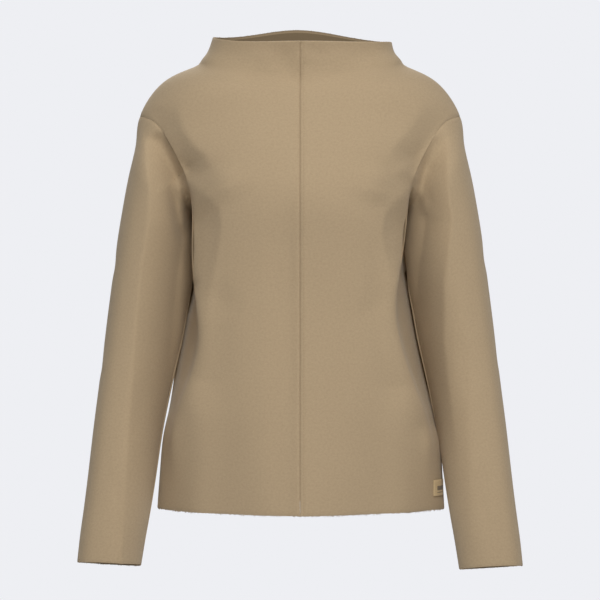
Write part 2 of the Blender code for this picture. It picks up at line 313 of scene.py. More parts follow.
# Sleeve rings below the armhole: outer and inner arm lines, front and back, and how much
# higher the front of a ring is than its back as the forearm leans forward.
Ring = namedtuple("Ring", "outer_z inner_z outer_x inner_x front_y back_y front_rise")
SLEEVE = (
    Ring(-76, -174, 213, 140, -68, 76, 0),
    Ring(-116, -198, 222, 139.5, -68, 75, 0),
    Ring(-160, -228, 230, 139.5, -67, 72, 0),
    Ring(-206, -258, 237.5, 140.5, -65, 69, 0),
    Ring(-254, -292, 243.5, 146.3, -63, 66, 4),
    Ring(-302, -328, 249.5, 152.5, -62, 61, 8),
    Ring(-350, -366, 255, 161, -63, 53, 10),
    Ring(-398, -408, 260.5, 170, -67, 42, 11),
    Ring(-446, -454, 266, 178.5, -73, 30, 11),
    Ring(-496, -502, 271, 185, -80, 17, 10),
    Ring(-546, -550, 276.5, 192, -86, 5, 9),
    Ring(-582, -586, 281, 198, -90, -4, 8),
    Ring(-617, -622, 284.5, 203.5, -92, -11, 5.6),
)
# How much lower each cuff hangs than the sections say, in millimetres.
CUFF_DROP = {"left": 2.0, "right": -2.4}


def armhole(side):
    """The loop that the torso and the sleeve share, from the shoulder round by the front."""
    front = [row[-1] for row in map(chest_row, FRONT_CHEST)]
    back = [row[-1] for row in map(chest_row, BACK_CHEST)]
    return [SHOULDER_POINT] + front[::-1] + [FRONT_ARMPIT, UNDERARM[side], BACK_ARMPIT] + back


def sleeve_ring(ring, count, drop):
    """One ring of the sleeve, its points in step with the armhole's."""
    points = []
    for step in range(count):
        angle = 2 * pi * step / count
        outward = cos(angle)
        forward = sin(angle)
        points.append(
            (
                (ring.outer_x + ring.inner_x) / 2 + (ring.outer_x - ring.inner_x) / 2 * outward,
                (ring.front_y + ring.back_y) / 2 - (ring.back_y - ring.front_y) / 2 * forward,
                (ring.outer_z + ring.inner_z) / 2
                + (ring.outer_z - ring.inner_z) / 2 * outward
                + ring.front_rise * forward
                - drop,
            )
        )
    return points


for side, mirror in (("left", 1), ("right", -1)):
    rings = [armhole(side)]
    for number, ring in enumerate(SLEEVE, start=1):
        drop = CUFF_DROP[side] * (number / len(SLEEVE)) ** 2
        rings.append(sleeve_ring(ring, len(rings[0]), drop))
    skin.add("sleeve_" + side, rings, mirror, mirror < 0, closed=True)

# ---------------------------------------------------------------------------------------
# Sewing up. The five pieces of cloth are rounded as one surface and pulled into the folds
# of a worn garment, then parted again at their seams and given the cloth's thickness.
# ---------------------------------------------------------------------------------------

FINEST = 3
FITTING_ROUNDS = 4
CLOTH_WALL = 1.9 * MM


def rounded(points, levels):
    """A mesh of the whole skin, rounded from its coarse points."""
    mesh = bpy.data.meshes.new("skin")
    mesh.from_pydata(points.tolist(), [], skin.faces)
    mesh.attributes.new("piece", "INT", "FACE").data.foreach_set("value", skin.pieces)
    cloth = mesh.uv_layers.new(name="cut")
    cloth.uv.foreach_set("vector", np.array(skin.threads, np.float32).ravel())
    carrier = bpy.data.objects.new("skin", mesh)
    bpy.context.scene.collection.objects.link(carrier)
    subdivision = carrier.modifiers.new("rounding", "SUBSURF")
    subdivision.levels = levels
    subdivision.render_levels = levels
    result = bpy.data.meshes.new_from_object(
        carrier.evaluated_get(bpy.context.evaluated_depsgraph_get())
    )
    bpy.data.objects.remove(carrier)
    bpy.data.meshes.remove(mesh)
    return result


wanted = np.array(skin.points)
coarse = wanted.copy()
for _ in range(FITTING_ROUNDS):
    fitted = rounded(coarse, 1)
    reached = np.array([fitted.vertices[at].co for at in range(len(coarse))])
    coarse += wanted - reached
fitted = rounded(coarse, FINEST)

whole = bmesh.new()
whole.from_mesh(fitted)
whole.normal_update()
whole.verts.index_update()
piece_layer = whole.faces.layers.int["piece"]
skin_normals = [vertex.normal.copy() for vertex in whole.verts]
nearest_on_skin = KDTree(len(whole.verts))
for vertex in whole.verts:
    nearest_on_skin.insert(vertex.co, vertex.index)
nearest_on_skin.balance()
owners = {
    vertex.index: {PIECES[face[piece_layer]].split("_")[0] for face in vertex.link_faces}
    for vertex in whole.verts
}
raw_edge = {v.index for edge in whole.edges if edge.is_boundary for v in edge.verts}
armhole_points = [
    vertex.co
    for vertex in whole.verts
    if "sleeve" in owners[vertex.index] and len(owners[vertex.index]) > 1
]
nearest_armhole = KDTree(len(armhole_points))
for number, place in enumerate(armhole_points):
    nearest_armhole.insert(place, number)
nearest_armhole.balance()

# Folds in millimetres. The path runs in x and z on the front or back, and in y and z on
# the outer or inner side of an arm. A soft fold has a depth and a width; a break has a sharp
# line on one side, from where the cloth falls away over the width and recovers beyond it.
# The ends say how much of the depth is left there.
Fold = namedtuple("Fold", "cloth facing depth width beyond side start end path")


def soft(cloth, facing, depth, width, start, end, *path):
    return Fold(cloth, facing, depth, width, 0.0, 0, start, end, path)


def cloth_break(cloth, facing, depth, width, beyond, side, start, end, *path):
    return Fold(cloth, facing, depth, width, beyond, side, start, end, path)


FOLDS = (
    # The break from the front of each armhole down to the bust. It runs on into the sleeve.
    cloth_break(
        "all", "front", -15.0, 27, 55, -1, 0.4, 0.0,
        (-157, -34), (-148, -65), (-133, -85), (-118, -98), (-111, -122),
    ),
    cloth_break(
        "all", "front", -13.0, 28, 55, 1, 0.4, 0.0,
        (161, -28), (148, -50), (134, -68), (120, -84), (109, -104),
    ),
    soft("torso", "front", 3.0, 8, 0.3, 0.0, (148, -100), (136, -112), (118, -122)),
    # The fullest part of the chest, out beside both breaks.
    soft("torso", "front", 8.0, 30, 0.5, 0.5, (-110, -122), (-98, -150)),
    soft("torso", "front", 8.0, 30, 0.5, 0.5, (106, -120), (98, -152)),
    # Below the armpits the front falls away to its sides.
    cloth_break(
        "torso", "front", -24.0, 32, 60, -1, 0.7, 0.0,
        (-140, -134), (-121, -145), (-101, -165), (-99, -190), (-104, -222), (-112, -262),
        (-118, -306),
    ),
    cloth_break(
        "torso", "front", -26.0, 28, 60, 1, 0.7, 0.0,
        (141, -138), (123, -153), (106, -173), (103, -195), (109, -228), (117, -262),
    ),
    # The slack at the waist and the long soft waves down to the hem.
    soft("torso", "front", -1.6, 16, 0.2, 0.0, (-118, -262), (-96, -282), (-72, -296)),
    soft("torso", "front", -1.5, 15, 0.2, 0.0, (116, -268), (92, -290), (66, -300)),
    soft("torso", "front", 1.0, 22, 0.0, 0.0, (-60, -300), (-64, -380), (-70, -460), (-72, -545)),
    soft("torso", "front", 1.0, 24, 0.0, 0.0, (66, -310), (72, -390), (80, -470), (82, -545)),
    # The lower corners are filled out forward.
    soft("torso", "front", 12, 28, 0.0, 1.0, (-132, -380), (-134, -470), (-134, -552)),
    soft("torso", "front", 12, 28, 0.0, 1.0, (132, -390), (134, -470), (134, -552)),
    soft("torso", "front", 19, 22, 0.0, 0.7, (-176, -420), (-180, -480), (-184, -552)),
    soft("torso", "front", 21, 22, 0.0, 0.85, (176, -440), (180, -490), (184, -552)),
    # Below the bust the front ends in a soft edge, and the sides fall back behind it.
    cloth_break(
        "torso", "front", -26.0, 15, 40, -1, 0.9, 0.2,
        (-131, -266), (-138, -292), (-147, -340), (-156, -390), (-166, -440),
    ),
    cloth_break(
        "torso", "front", -26.0, 15, 40, 1, 0.9, 0.2,
        (126, -250), (132, -280), (141, -330), (152, -380), (165, -436),
    ),
    # The cloth falls away beside the centre seam, and dips under the neck's edge.
    cloth_break(
        "torso", "front", -3.6, 11, 40, -1, 0.1, 1.0,
        (-1, -120), (-1, -200), (-1, -320), (-1, -440), (-1, -552),
    ),
    soft("torso", "front", -4.6, 14, 0.2, 0.0, (-34, 34), (-16, 24), (-6, 8), (-2, -12)),
    soft("torso", "front", -3.6, 13, 0.0, 0.0, (-84, 8), (-40, 4), (0, 2), (40, 3), (88, 8)),
    soft("torso", "front", 1.6, 9, 0.0, 0.0, (-80, 34), (-30, 28), (30, 28), (80, 34)),
    soft("torso", "front", -2.0, 11, 0.0, 0.0, (28, 40), (18, 24), (10, 8)),
    # The right sleeve: its inner side falls away in front of the body, and two short creases
    # hang from the armpit.
    cloth_break(
        "sleeve_right", "front", -34.0, 44, 60, 1, 0.9, 0.7,
        (-200, -76), (-192, -130), (-192, -180), (-203, -240), (-211, -331), (-217, -433),
        (-222, -535), (-226, -622),
    ),
    soft(
        "sleeve_right", "front", -7.0, 5.5, 0.6, 0.0,
        (-166, -134), (-161, -159), (-157, -181), (-150, -210),
    ),
    soft("sleeve_right", "front", 3.0, 6, 0.3, 0.0, (-150, -146), (-152, -162), (-150, -188)),
    soft("sleeve_right", "front", -1.6, 12, 0.0, 0.0, (-196, -380), (-206, -420), (-210, -460)),
    soft("sleeve_right", "front", -1.4, 10, 0.0, 0.0, (-232, -500), (-226, -540), (-232, -590)),
    # The left sleeve, where that break is crisper and starts higher.
    cloth_break(
        "sleeve_left", "front", -26.0, 32, 40, -1, 0.8, 0.0,
        (190, -80), (188, -112), (190, -150), (194, -180), (191, -205), (185, -255),
        (184, -331), (192, -407), (202, -497),
    ),
    cloth_break(
        "sleeve_left", "front", -12.0, 52, 60, -1, 0.0, 0.3,
        (204, -220), (211, -300), (216, -380), (216, -460), (214, -600),
    ),
    soft("sleeve_left", "front", 4.0, 5, 0.3, 0.0, (155, -134), (158, -150), (162, -172)),
    soft("sleeve_left", "inner", 3.0, 26, 0.3, 0.3, (2, -168), (2, -200), (2, -236)),
    soft("sleeve_left", "front", -1.5, 12, 0.0, 0.0, (206, -330), (214, -372), (212, -410)),
    soft("sleeve_left", "front", -1.3, 11, 0.0, 0.0, (236, -490), (230, -530), (238, -580)),
    # Both sleeves are flat in front out to their outer edges.
    soft(
        "sleeve_left", "front", 6, 16, 0.2, 0.7,
        (206, -100), (223, -160), (236, -254), (248, -350), (259, -446), (269, -546), (277, -622),
    ),
    soft(
        "sleeve_right", "front", 5, 16, 0.2, 0.7,
        (-206, -100), (-223, -160), (-236, -254), (-248, -350), (-259, -446), (-269, -546),
        (-277, -622),
    ),
    # The hidden side: drag lines from the armholes, slack at the waist, waves to the hem.
    cloth_break(
        "all", "back", -5.0, 20, 26, 1, 0.3, 0.0,
        (-160, -40), (-150, -74), (-136, -98), (-118, -120), (-104, -150),
    ),
    cloth_break(
        "all", "back", -4.6, 18, 28, -1, 0.3, 0.0,
        (162, -44), (153, -80), (138, -106), (122, -126),
    ),
    soft("torso", "back", -2.6, 12, 0.3, 0.0, (-128, -205), (-104, -222), (-74, -228)),
    soft("torso", "back", -2.2, 14, 0.3, 0.0, (126, -214), (98, -236), (70, -246), (44, -246)),
    soft("torso", "back", -2.4, 15, 0.2, 0.0, (-116, -268), (-84, -292), (-50, -300)),
    soft("torso", "back", -2.0, 13, 0.2, 0.0, (118, -280), (90, -298), (62, -302)),
    soft("torso", "back", 2.0, 26, 0.0, 0.4, (-58, -320), (-62, -400), (-70, -552)),
    soft("torso", "back", 1.6, 24, 0.0, 0.4, (52, -310), (60, -400), (64, -552)),
    soft("torso", "back", -1.6, 20, 0.0, 0.4, (0, -330), (-4, -430), (-2, -552)),
    # Slack where each elbow bends a little, and slight waves down the outer arm.
    soft("sleeve_left", "back", -2.4, 10, 0.2, 0.0, (238, -296), (216, -312), (192, -318)),
    soft("sleeve_left", "back", -2.0, 9, 0.2, 0.0, (246, -344), (222, -352), (196, -350)),
    soft("sleeve_right", "back", -2.2, 10, 0.2, 0.0, (-240, -304), (-214, -322), (-188, -324)),
    soft("sleeve_right", "back", -1.8, 9, 0.2, 0.0, (-248, -352), (-226, -362), (-204, -362)),
    soft("sleeve_left", "outer", -1.6, 14, 0.2, 0.0, (30, -180), (6, -214), (-18, -240)),
    soft("sleeve_left", "outer", -1.4, 12, 0.0, 0.0, (24, -300), (4, -340), (-14, -372)),
    soft("sleeve_right", "outer", -1.5, 13, 0.2, 0.0, (34, -194), (8, -226), (-20, -246)),
    soft("sleeve_right", "outer", -1.3, 12, 0.0, 0.0, (20, -312), (0, -352), (-22, -380)),
)
FACING = {"front": (0, -1, 0), "back": (0, 1, 0), "outer": (1, 0, 0), "inner": (-1, 0, 0)}
# A fold dies away past its ends within END_FADE, and rises over RAMP_SHARE of its length.
END_FADE = 7.0
RAMP_SHARE = 0.3
# How squarely cloth has to face a fold's side, from none of the fold to all of it, and how
# far from the armhole's seam a piece's own folds come in.
FACING_FADE = (-0.25, 0.2)
SEAM_FADE = (-4 * MM, 16 * MM)


def eased(values, low, high):
    """0 below low, 1 above high, and a smooth step between."""
    share = np.clip((values - low) / (high - low), 0, 1)
    return share * share * (3 - 2 * share)


def fold_height(fold, flat):
    """How high a fold stands over each point of a flat view, in millimetres."""
    path = np.array(fold.path, float)
    runs = np.linalg.norm(np.diff(path, axis=0), axis=1)
    along = np.concatenate([[0], np.cumsum(runs)]) / runs.sum()
    nearest = np.full(len(flat), 1e9)
    signed = np.zeros(len(flat))
    place = np.zeros(len(flat))
    past = np.zeros(len(flat))
    for start, end, low, high in zip(path, path[1:], along, along[1:]):
        run = end - start
        share = np.clip((flat - start) @ run / (run @ run), 0, 1)
        off = flat - start - share[:, None] * run
        away = np.linalg.norm(off, axis=1)
        nearer = away < nearest
        nearest = np.where(nearer, away, nearest)
        hand = np.sign(run[0] * off[:, 1] - run[1] * off[:, 0])
        signed = np.where(nearer, hand * away, signed)
        place = np.where(nearer, low + (high - low) * share, place)
        past = np.where(nearer, np.abs(off @ run) / np.linalg.norm(run), past)
    begun, left_over = (
        np.sin(pi / 2 * np.minimum(share / RAMP_SHARE, 1)) for share in (place, 1 - place)
    )
    left = (fold.start + (1 - fold.start) * begun) * (fold.end + (1 - fold.end) * left_over)
    ended = (place <= 0) | (place >= 1)
    left = left * np.where(ended, np.exp(-((past / END_FADE) ** 2)), 1.0)
    if not fold.side:
        return fold.depth * left * np.exp(-((nearest / fold.width) ** 2))
    away = signed * fold.side
    fall = np.clip(away / fold.width, 0, 1)
    fall = np.where(away < 0, 0, fall) * (1 - eased(away, fold.width, fold.width + fold.beyond))
    return fold.depth * left * fall


def folded(places, normals, name):
    """How far the folds move each point of a piece, in metres."""
    kind = name.split("_")[0].replace("front", "torso").replace("back", "torso")
    mirror = -1 if name.endswith("right") else 1
    flat_mm = places / MM
    beside_seam = np.array([nearest_armhole.find(place)[2] for place in places])
    own_share = eased(beside_seam, *SEAM_FADE)
    moved = np.zeros(places.shape)
    for fold in FOLDS:
        if fold.cloth not in ("all", kind, name):
            continue
        axis = np.array(FACING[fold.facing], float)
        across = 0
        if fold.facing in ("outer", "inner"):
            axis *= mirror
            across = 1
        share = eased(normals @ axis, *FACING_FADE)
        if fold.cloth != "all":
            share = share * own_share
        height = share * fold_height(fold, flat_mm[:, [across, 2]])
        moved += height[:, None] * axis * MM
    return moved


# How far each kind of seam is drawn in, in millimetres, at the stitching and beside it.
SEAM_BANDS = (0.7 * MM, 1.3 * MM)
CENTRE_SEAM = (1.3, 0.5)
SIDE_SEAM = (0.8, 0.35)
ARMHOLE_SEAM = (0.7, 0.25)
EDGE_ROUNDING = (0.35, 0.0)
# The front of the armhole's seam shows above one height and is nearly hidden below another.
ARMHOLE_SHOWS = -52.0
ARMHOLE_FADES = -78.0
HIDDEN_SHARE = 0.05
SEAM_OPENING = 0.08 * MM
# The strip raised by the allowance behind the cloth, from the centre seam outwards.
STRIP_STARTS = (0.6, 1.6)
STRIP_CUTS = (4.2, 5.0)
STRIP_RISE = 0.65


def seam_sink(at, place, normal, step):
    """How far a point of a seam or raw edge is drawn in, in millimetres."""
    joined = owners[at]
    if at in raw_edge and len(joined) == 1:
        return EDGE_ROUNDING[step]
    if joined == {"front"}:
        return CENTRE_SEAM[step]
    if "sleeve" not in joined:
        return SIDE_SEAM[step]
    share = float(eased(place.z / MM, ARMHOLE_FADES, ARMHOLE_SHOWS))
    if normal.y > 0:
        share = 1.0
    return ARMHOLE_SEAM[step] * (HIDDEN_SHARE + (1 - HIDDEN_SHARE) * share)


def cloth_mesh(name):
    """A piece of the skin parted at its seams, and the folded places of its outer face."""
    number = PIECES.index(name)
    sheet = whole.copy()
    own = sheet.faces.layers.int["piece"]
    others = [face for face in sheet.faces if face[own] != number]
    bmesh.ops.delete(sheet, geom=others, context="FACES")
    for thickness in SEAM_BANDS:
        faces = [face for face in sheet.faces if not face.tag]
        rim = bmesh.ops.inset_region(
            sheet, faces=faces, thickness=thickness, use_boundary=True, use_even_offset=True
        )["faces"]
        for face in rim:
            face.tag = True
    if name == "front_left":
        for cut in STRIP_CUTS:
            geometry = sheet.faces[:] + sheet.edges[:] + sheet.verts[:]
            bmesh.ops.bisect_plane(
                sheet, geom=geometry, plane_co=(cut * MM, 0, 0), plane_no=(1, 0, 0)
            )
    sheet.verts.ensure_lookup_table()
    sheet.verts.index_update()
    places = np.array([vertex.co for vertex in sheet.verts])
    found = [nearest_on_skin.find(vertex.co)[1] for vertex in sheet.verts]
    normals = np.array([skin_normals[at] for at in found])

    ring = {vertex: 0 for vertex in sheet.verts if vertex.is_boundary}
    for step in (1, 2):
        for vertex in [v for v, at in ring.items() if at == step - 1]:
            for edge in vertex.link_edges:
                ring.setdefault(edge.other_vert(vertex), step)
    outer = places + folded(places, normals, name)
    for vertex, step in ring.items():
        if step > 1:
            continue
        at = vertex.index
        root = found[at]
        sink = seam_sink(root, vertex.co, skin_normals[root], step)
        outer[at] -= normals[at] * sink * MM
        if step == 0 and not (root in raw_edge and len(owners[root]) == 1):
            beside = [e.other_vert(vertex) for e in vertex.link_edges if not e.is_boundary]
            if beside:
                away = Vector(places[beside[0].index]) - vertex.co
                outer[at] += np.array(away.normalized() * SEAM_OPENING)
    if name == "front_left":
        across = places[:, 0] / MM
        strip = eased(across, *STRIP_STARTS) * (1 - eased(across, *STRIP_CUTS))
        outer += normals * (strip * STRIP_RISE * MM)[:, None]
    return sheet, outer, normals, found


# The wrong side, inside the garment, carries painted shade, but less of it in the last bit before
# a raw edge.
INSIDE_SHADE_AT_CUT = 0.42


def thickened(name, sheet, outer, normals, found):
    """A closed wall of cloth from its outer face."""
    cut = [v for v in sheet.verts if v.is_boundary and found[v.index] in raw_edge]
    near_cut = set(cut) | {edge.other_vert(vertex) for vertex in cut for edge in vertex.link_edges}
    solid = bmesh.new()
    threads = sheet.loops.layers.uv["cut"]
    cloth = solid.loops.layers.uv.new("cut")
    rim_layer = solid.faces.layers.float.new("cut_edge")
    painted_shade_layer = solid.faces.layers.float.new("inside_painted_shade")
    above = [solid.verts.new(place) for place in outer]
    below = [solid.verts.new(place - n * CLOTH_WALL) for place, n in zip(outer, normals)]
    for face in sheet.faces:
        forward = list(face.loops)
        for side, order in ((above, forward), (below, forward[::-1])):
            made = solid.faces.new([side[loop.vert.index] for loop in order])
            made.smooth = True
            # The inner faces are marked for painted shade, weaker next to a cut.
            if side is below:
                at_cut = near_cut.intersection(face.verts)
                made[painted_shade_layer] = INSIDE_SHADE_AT_CUT if at_cut else 1.0
            for corner, loop in zip(made.loops, order):
                corner[cloth].uv = loop[threads].uv
        for loop in face.loops:
            if loop.edge.is_boundary:
                start, end = loop.vert.index, loop.link_loop_next.vert.index
                made = solid.faces.new([above[end], above[start], below[start], below[end]])
                made.smooth = True
                # Rim faces are marked for the painted highlight and for sharp shading.
                made[rim_layer] = 1.0
                for corner in made.loops:
                    corner[cloth].uv = loop[threads].uv
    bmesh.ops.recalc_face_normals(solid, faces=solid.faces)
    for edge in solid.edges:
        kinds = {face[rim_layer] for face in edge.link_faces}
        if len(kinds) == 2:
            edge.smooth = False
    mesh = bpy.data.meshes.new(name)
    solid.to_mesh(mesh)
    solid.free()
    return mesh


class Wire:
    """An output in a material. Arithmetic on it adds the Math nodes."""

    def __init__(self, finish, socket):
        self.finish = finish
        self.socket = socket

    def math(self, operation, other=0.0, third=0.0):
        return self.finish.node(
            "ShaderNodeMath", {"operation": operation}, {0: self, 1: other, 2: third}
        )

    def __add__(self, other):
        return self.math("ADD", other)

    def __sub__(self, other):
        return self.math("SUBTRACT", other)

    def __mul__(self, other):
        return self.math("MULTIPLY", other)

    def __rsub__(self, other):
        return self.math("MULTIPLY_ADD", -1.0, other)

    __radd__ = __add__
    __rmul__ = __mul__


class Finish:
    """The nodes of a material, or of the world, around the shader it starts with."""

    def __init__(self, owner, shader="Principled BSDF"):
        self.owner = owner
        self.owner.use_nodes = True
        self.tree = self.owner.node_tree
        self.shader = self.tree.nodes[shader]

    def fill(self, node, sockets):
        for name, value in sockets.items():
            socket = node.inputs[name]
            if isinstance(value, Wire):
                self.tree.links.new(value.socket, socket)
            else:
                socket.default_value = value

    def node(self, kind, settings, sockets, output=0):
        made = self.tree.nodes.new(kind)
        for name, value in settings.items():
            setattr(made, name, value)
        self.fill(made, sockets)
        return Wire(self, made.outputs[output])

    def mixed(self, factor, first, second):
        """Two colours mixed by a factor."""
        return self.node(
            "ShaderNodeMix", {"data_type": "RGBA"}, {0: factor, 6: first, 7: second}, 2
        )

    def noise(self, place, scale, **sockets):
        """Uneven grey values that vary over a place."""
        return self.node(
            "ShaderNodeTexNoise", {}, {"Vector": place, "Scale": scale, **sockets}
        )


YARN_PITCH = 1.15 * MM
CLOTH_PALE = (0.495, 0.379, 0.240, 1.0)
CLOTH_MIDDLE = (0.430, 0.325, 0.202, 1.0)
CLOTH_DEEP = (0.315, 0.232, 0.142, 1.0)
# Painted highlight: the cut edges paler, as where they catch the light.
CUT_EDGE_PAINTED_HIGHLIGHT = (0.50, 0.395, 0.265, 1.0)
# Painted shade for the inside of the garment.
INSIDE_PAINTED_SHADE = (0.12, 0.085, 0.046, 1.0)
MIDDLE_SHARE = 0.55
PATCH_SHARE = 0.22
MOTTLE_SHARE = 0.45
CUT_EDGE_HIGHLIGHT_SHARE = 0.8
INSIDE_SHADE_SHARE = 0.8
# How finely each unevenness of the cloth repeats, and how far the yarns stray.
YARN_STRAY = 5.0
STRAY_SCALE = 240.0
FIBRE_SCALE = 1500.0
SLUB_STRETCH = (260.0, 900.0, 1.0)
PATCH_SCALE = 14.0
MOTTLE_SCALE = 330.0
NAP_BUMP = 0.55
NAP_HEIGHT = 0.35 * MM


def cloth_finish():
    """Dense tan cloth: fine crossed yarns under a short nap, in slightly uneven tan, with painted
    shade inside and a painted highlight on cut edges.
    """
    finish = Finish(bpy.data.materials.new("tan_cloth"))
    place = finish.node("ShaderNodeUVMap", {"uv_map": "cut"}, {}, "UV")
    along = finish.node("ShaderNodeSeparateXYZ", {}, {0: place})
    up = Wire(finish, along.socket.node.outputs[1])
    stray = finish.noise(place, STRAY_SCALE, Detail=2.0) * YARN_STRAY
    warp = (along * (2 * pi / YARN_PITCH) + stray).math("SINE")
    weft = (up * (2 * pi / YARN_PITCH) + stray).math("SINE")
    weave = warp * weft * 0.5 + 0.5
    fibres = finish.noise(place, FIBRE_SCALE, Detail=3.0, Roughness=0.7)
    stretched = finish.node(
        "ShaderNodeVectorMath", {"operation": "MULTIPLY"}, {0: place, 1: SLUB_STRETCH}
    )
    slubs = finish.noise(stretched, 1.0, Detail=2.0)
    patches = finish.noise(place, PATCH_SCALE, Detail=3.0)
    depth = fibres * 0.55 + slubs * 0.35 + weave * 0.25 - 0.1
    deep_share = ((depth - 0.42) * 3.2).math("MINIMUM", 1.0).math("MAXIMUM", 0.0)
    tan = finish.mixed(deep_share, CLOTH_DEEP, CLOTH_PALE)
    tan = finish.mixed(MIDDLE_SHARE, tan, CLOTH_MIDDLE)
    tan = finish.mixed(patches * PATCH_SHARE, tan, CLOTH_PALE)
    mottle = finish.noise(place, MOTTLE_SCALE, Detail=2.0)
    mottle = ((mottle - 0.4) * 2.4).math("MINIMUM", 1.0).math("MAXIMUM", 0.0)
    tan = finish.mixed(mottle * MOTTLE_SHARE, tan, CLOTH_DEEP)
    # The faces of every cut, at raw edges and at seams, are painted paler: a painted highlight.
    edge = finish.node("ShaderNodeAttribute", {"attribute_name": "cut_edge"}, {}, "Fac")
    tan = finish.mixed(edge * CUT_EDGE_HIGHLIGHT_SHARE, tan, CUT_EDGE_PAINTED_HIGHLIGHT)
    # The inside of the garment is painted darker: painted shade.
    inside_shade = finish.node("ShaderNodeAttribute", {"attribute_name": "inside_painted_shade"}, {}, "Fac")
    tan = finish.mixed(inside_shade * INSIDE_SHADE_SHARE, tan, INSIDE_PAINTED_SHADE)
    height = weave * 0.4 + fibres * 0.9 + slubs * 0.5
    bump = finish.node(
        "ShaderNodeBump", {}, {"Height": height, "Strength": NAP_BUMP, "Distance": NAP_HEIGHT}
    )
    finish.fill(
        finish.shader,
        {
            "Base Color": tan,
            "Roughness": fibres * 0.12 + 0.84,
            "Normal": bump,
            "Sheen Weight": 0.18,
            "Sheen Roughness": 0.55,
            "Sheen Tint": (0.95, 0.88, 0.76, 1.0),
            "Specular IOR Level": 0.22,
        },
    )
    return finish.owner


# The cut of a piece: width and length of its cloth, and its flat area.
Cut = namedtuple("Cut", "width length area")

# A stretch of raw edge on the outer face, with its normal and the way out past the cut.
RawEdge = namedtuple("RawEdge", "start end normal beyond")

tan_cloth = cloth_finish()
panels = {}
raw_edges = {name: [] for name in PIECES}
for name in PIECES:
    sheet, outer, normals, found = cloth_mesh(name)
    panel = bpy.data.objects.new(name + "_cloth", thickened(name, sheet, outer, normals, found))
    bpy.context.scene.collection.objects.link(panel)
    panel.data.materials.append(tan_cloth)
    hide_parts(name)
    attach(panel, "root")
    panels[name] = panel
    for edge in sheet.edges:
        if edge.is_boundary and all(found[v.index] in raw_edge for v in edge.verts):
            start, end = edge.verts
            inside = edge.link_faces[0].calc_center_median()
            beyond = ((start.co + end.co) / 2 - inside).normalized()
            places = [Vector(outer[at]) for at in (start.index, end.index)]
            raw_edges[name].append(RawEdge(*places, Vector(normals[start.index]), beyond))
    sheet.free()

# ---------------------------------------------------------------------------------------
# Topstitching. One row of tan thread on the wearer's left of the centre seam holds the
# seam allowance flat behind it, from the neck to the hem.
# ---------------------------------------------------------------------------------------

THREAD_SIDES = 3
STITCH_ACROSS = 4.6 * MM
STITCH_PITCH = 3.4 * MM
STITCH_LENGTH = 2.7 * MM
STITCH_WIDTHS = (0.16 * MM, 0.5 * MM, 0.5 * MM, 0.16 * MM)
STITCH_TOP = 46 * MM
STITCH_BOTTOM = -547 * MM
STITCH_PROUD = 0.12 * MM
STITCH_DIP = 0.3 * MM
THREAD_TAN = (0.30, 0.215, 0.125, 1.0)
YARN_NOISE_SCALE = 900.0
YARN_PALER = 1.35


def thread(points, faces, centres, widths):
    """Adds a thread through its centres to a mesh's points and faces."""
    first = len(points)
    run = (centres[-1] - centres[0]).normalized()
    across = run.orthogonal().normalized()
    beside = run.cross(across)
    for centre, width in zip(centres, widths):
        for side in range(THREAD_SIDES):
            turn = 2 * pi * side / THREAD_SIDES
            points.append(centre + (across * cos(turn) + beside * sin(turn)) * width / 2)
    for ring in range(len(centres) - 1):
        for side in range(THREAD_SIDES):
            here = first + ring * THREAD_SIDES + side
            there = first + ring * THREAD_SIDES + (side + 1) % THREAD_SIDES
            faces.append((here, there, there + THREAD_SIDES, here + THREAD_SIDES))
    faces.append(range(first + THREAD_SIDES - 1, first - 1, -1))
    faces.append(range(len(points) - THREAD_SIDES, len(points)))


def threads_object(name, points, faces, material):
    """One object of many threads, riding with the garment."""
    mesh = bpy.data.meshes.new(name)
    mesh.from_pydata([tuple(point) for point in points], [], [tuple(face) for face in faces])
    mesh.materials.append(material)
    mesh.shade_smooth()
    made = bpy.data.objects.new(name, mesh)
    bpy.context.scene.collection.objects.link(made)
    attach(made, "root")


def thread_finish(name, colour):
    """Spun yarn of one colour, a little uneven."""
    finish = Finish(bpy.data.materials.new(name))
    place = finish.node("ShaderNodeTexCoord", {}, {}, "Object")
    uneven = finish.noise(place, YARN_NOISE_SCALE)
    pale = tuple(min(1.0, value * YARN_PALER) for value in colour[:3]) + (1.0,)
    tan = finish.mixed(uneven, colour, pale)
    finish.fill(
        finish.shader, {"Base Color": tan, "Roughness": 0.8, "Specular IOR Level": 0.25}
    )
    return finish.owner


def surface_tree(mesh):
    """The outer faces of a mesh, ready to be met by rays."""
    return BVHTree.FromPolygons(
        [vertex.co for vertex in mesh.vertices], [face.vertices for face in mesh.polygons]
    )


AHEAD = Vector((0, 1, 0))
front_tree = surface_tree(panels["front_left"].data)
points, faces = [], []
height = STITCH_TOP
while height > STITCH_BOTTOM:
    centres = []
    for number in range(len(STITCH_WIDTHS)):
        share = number / (len(STITCH_WIDTHS) - 1)
        aim = Vector((STITCH_ACROSS, -1, height - STITCH_LENGTH * share))
        hit, normal, _, _ = front_tree.ray_cast(aim, AHEAD)
        rise = STITCH_PROUD if 0 < number < len(STITCH_WIDTHS) - 1 else -STITCH_DIP
        centres.append(hit + normal * rise)
    thread(points, faces, centres, STITCH_WIDTHS)
    height -= STITCH_PITCH
threads_object("centre_topstitching", points, faces, thread_finish("tan_thread", THREAD_TAN))

# ---------------------------------------------------------------------------------------
# Loose fibres. Neck, hem and cuffs are cut raw and not turned up, so short ends of yarn
# stand out past the cut, in small tufts, fewest at the neck.
# ---------------------------------------------------------------------------------------

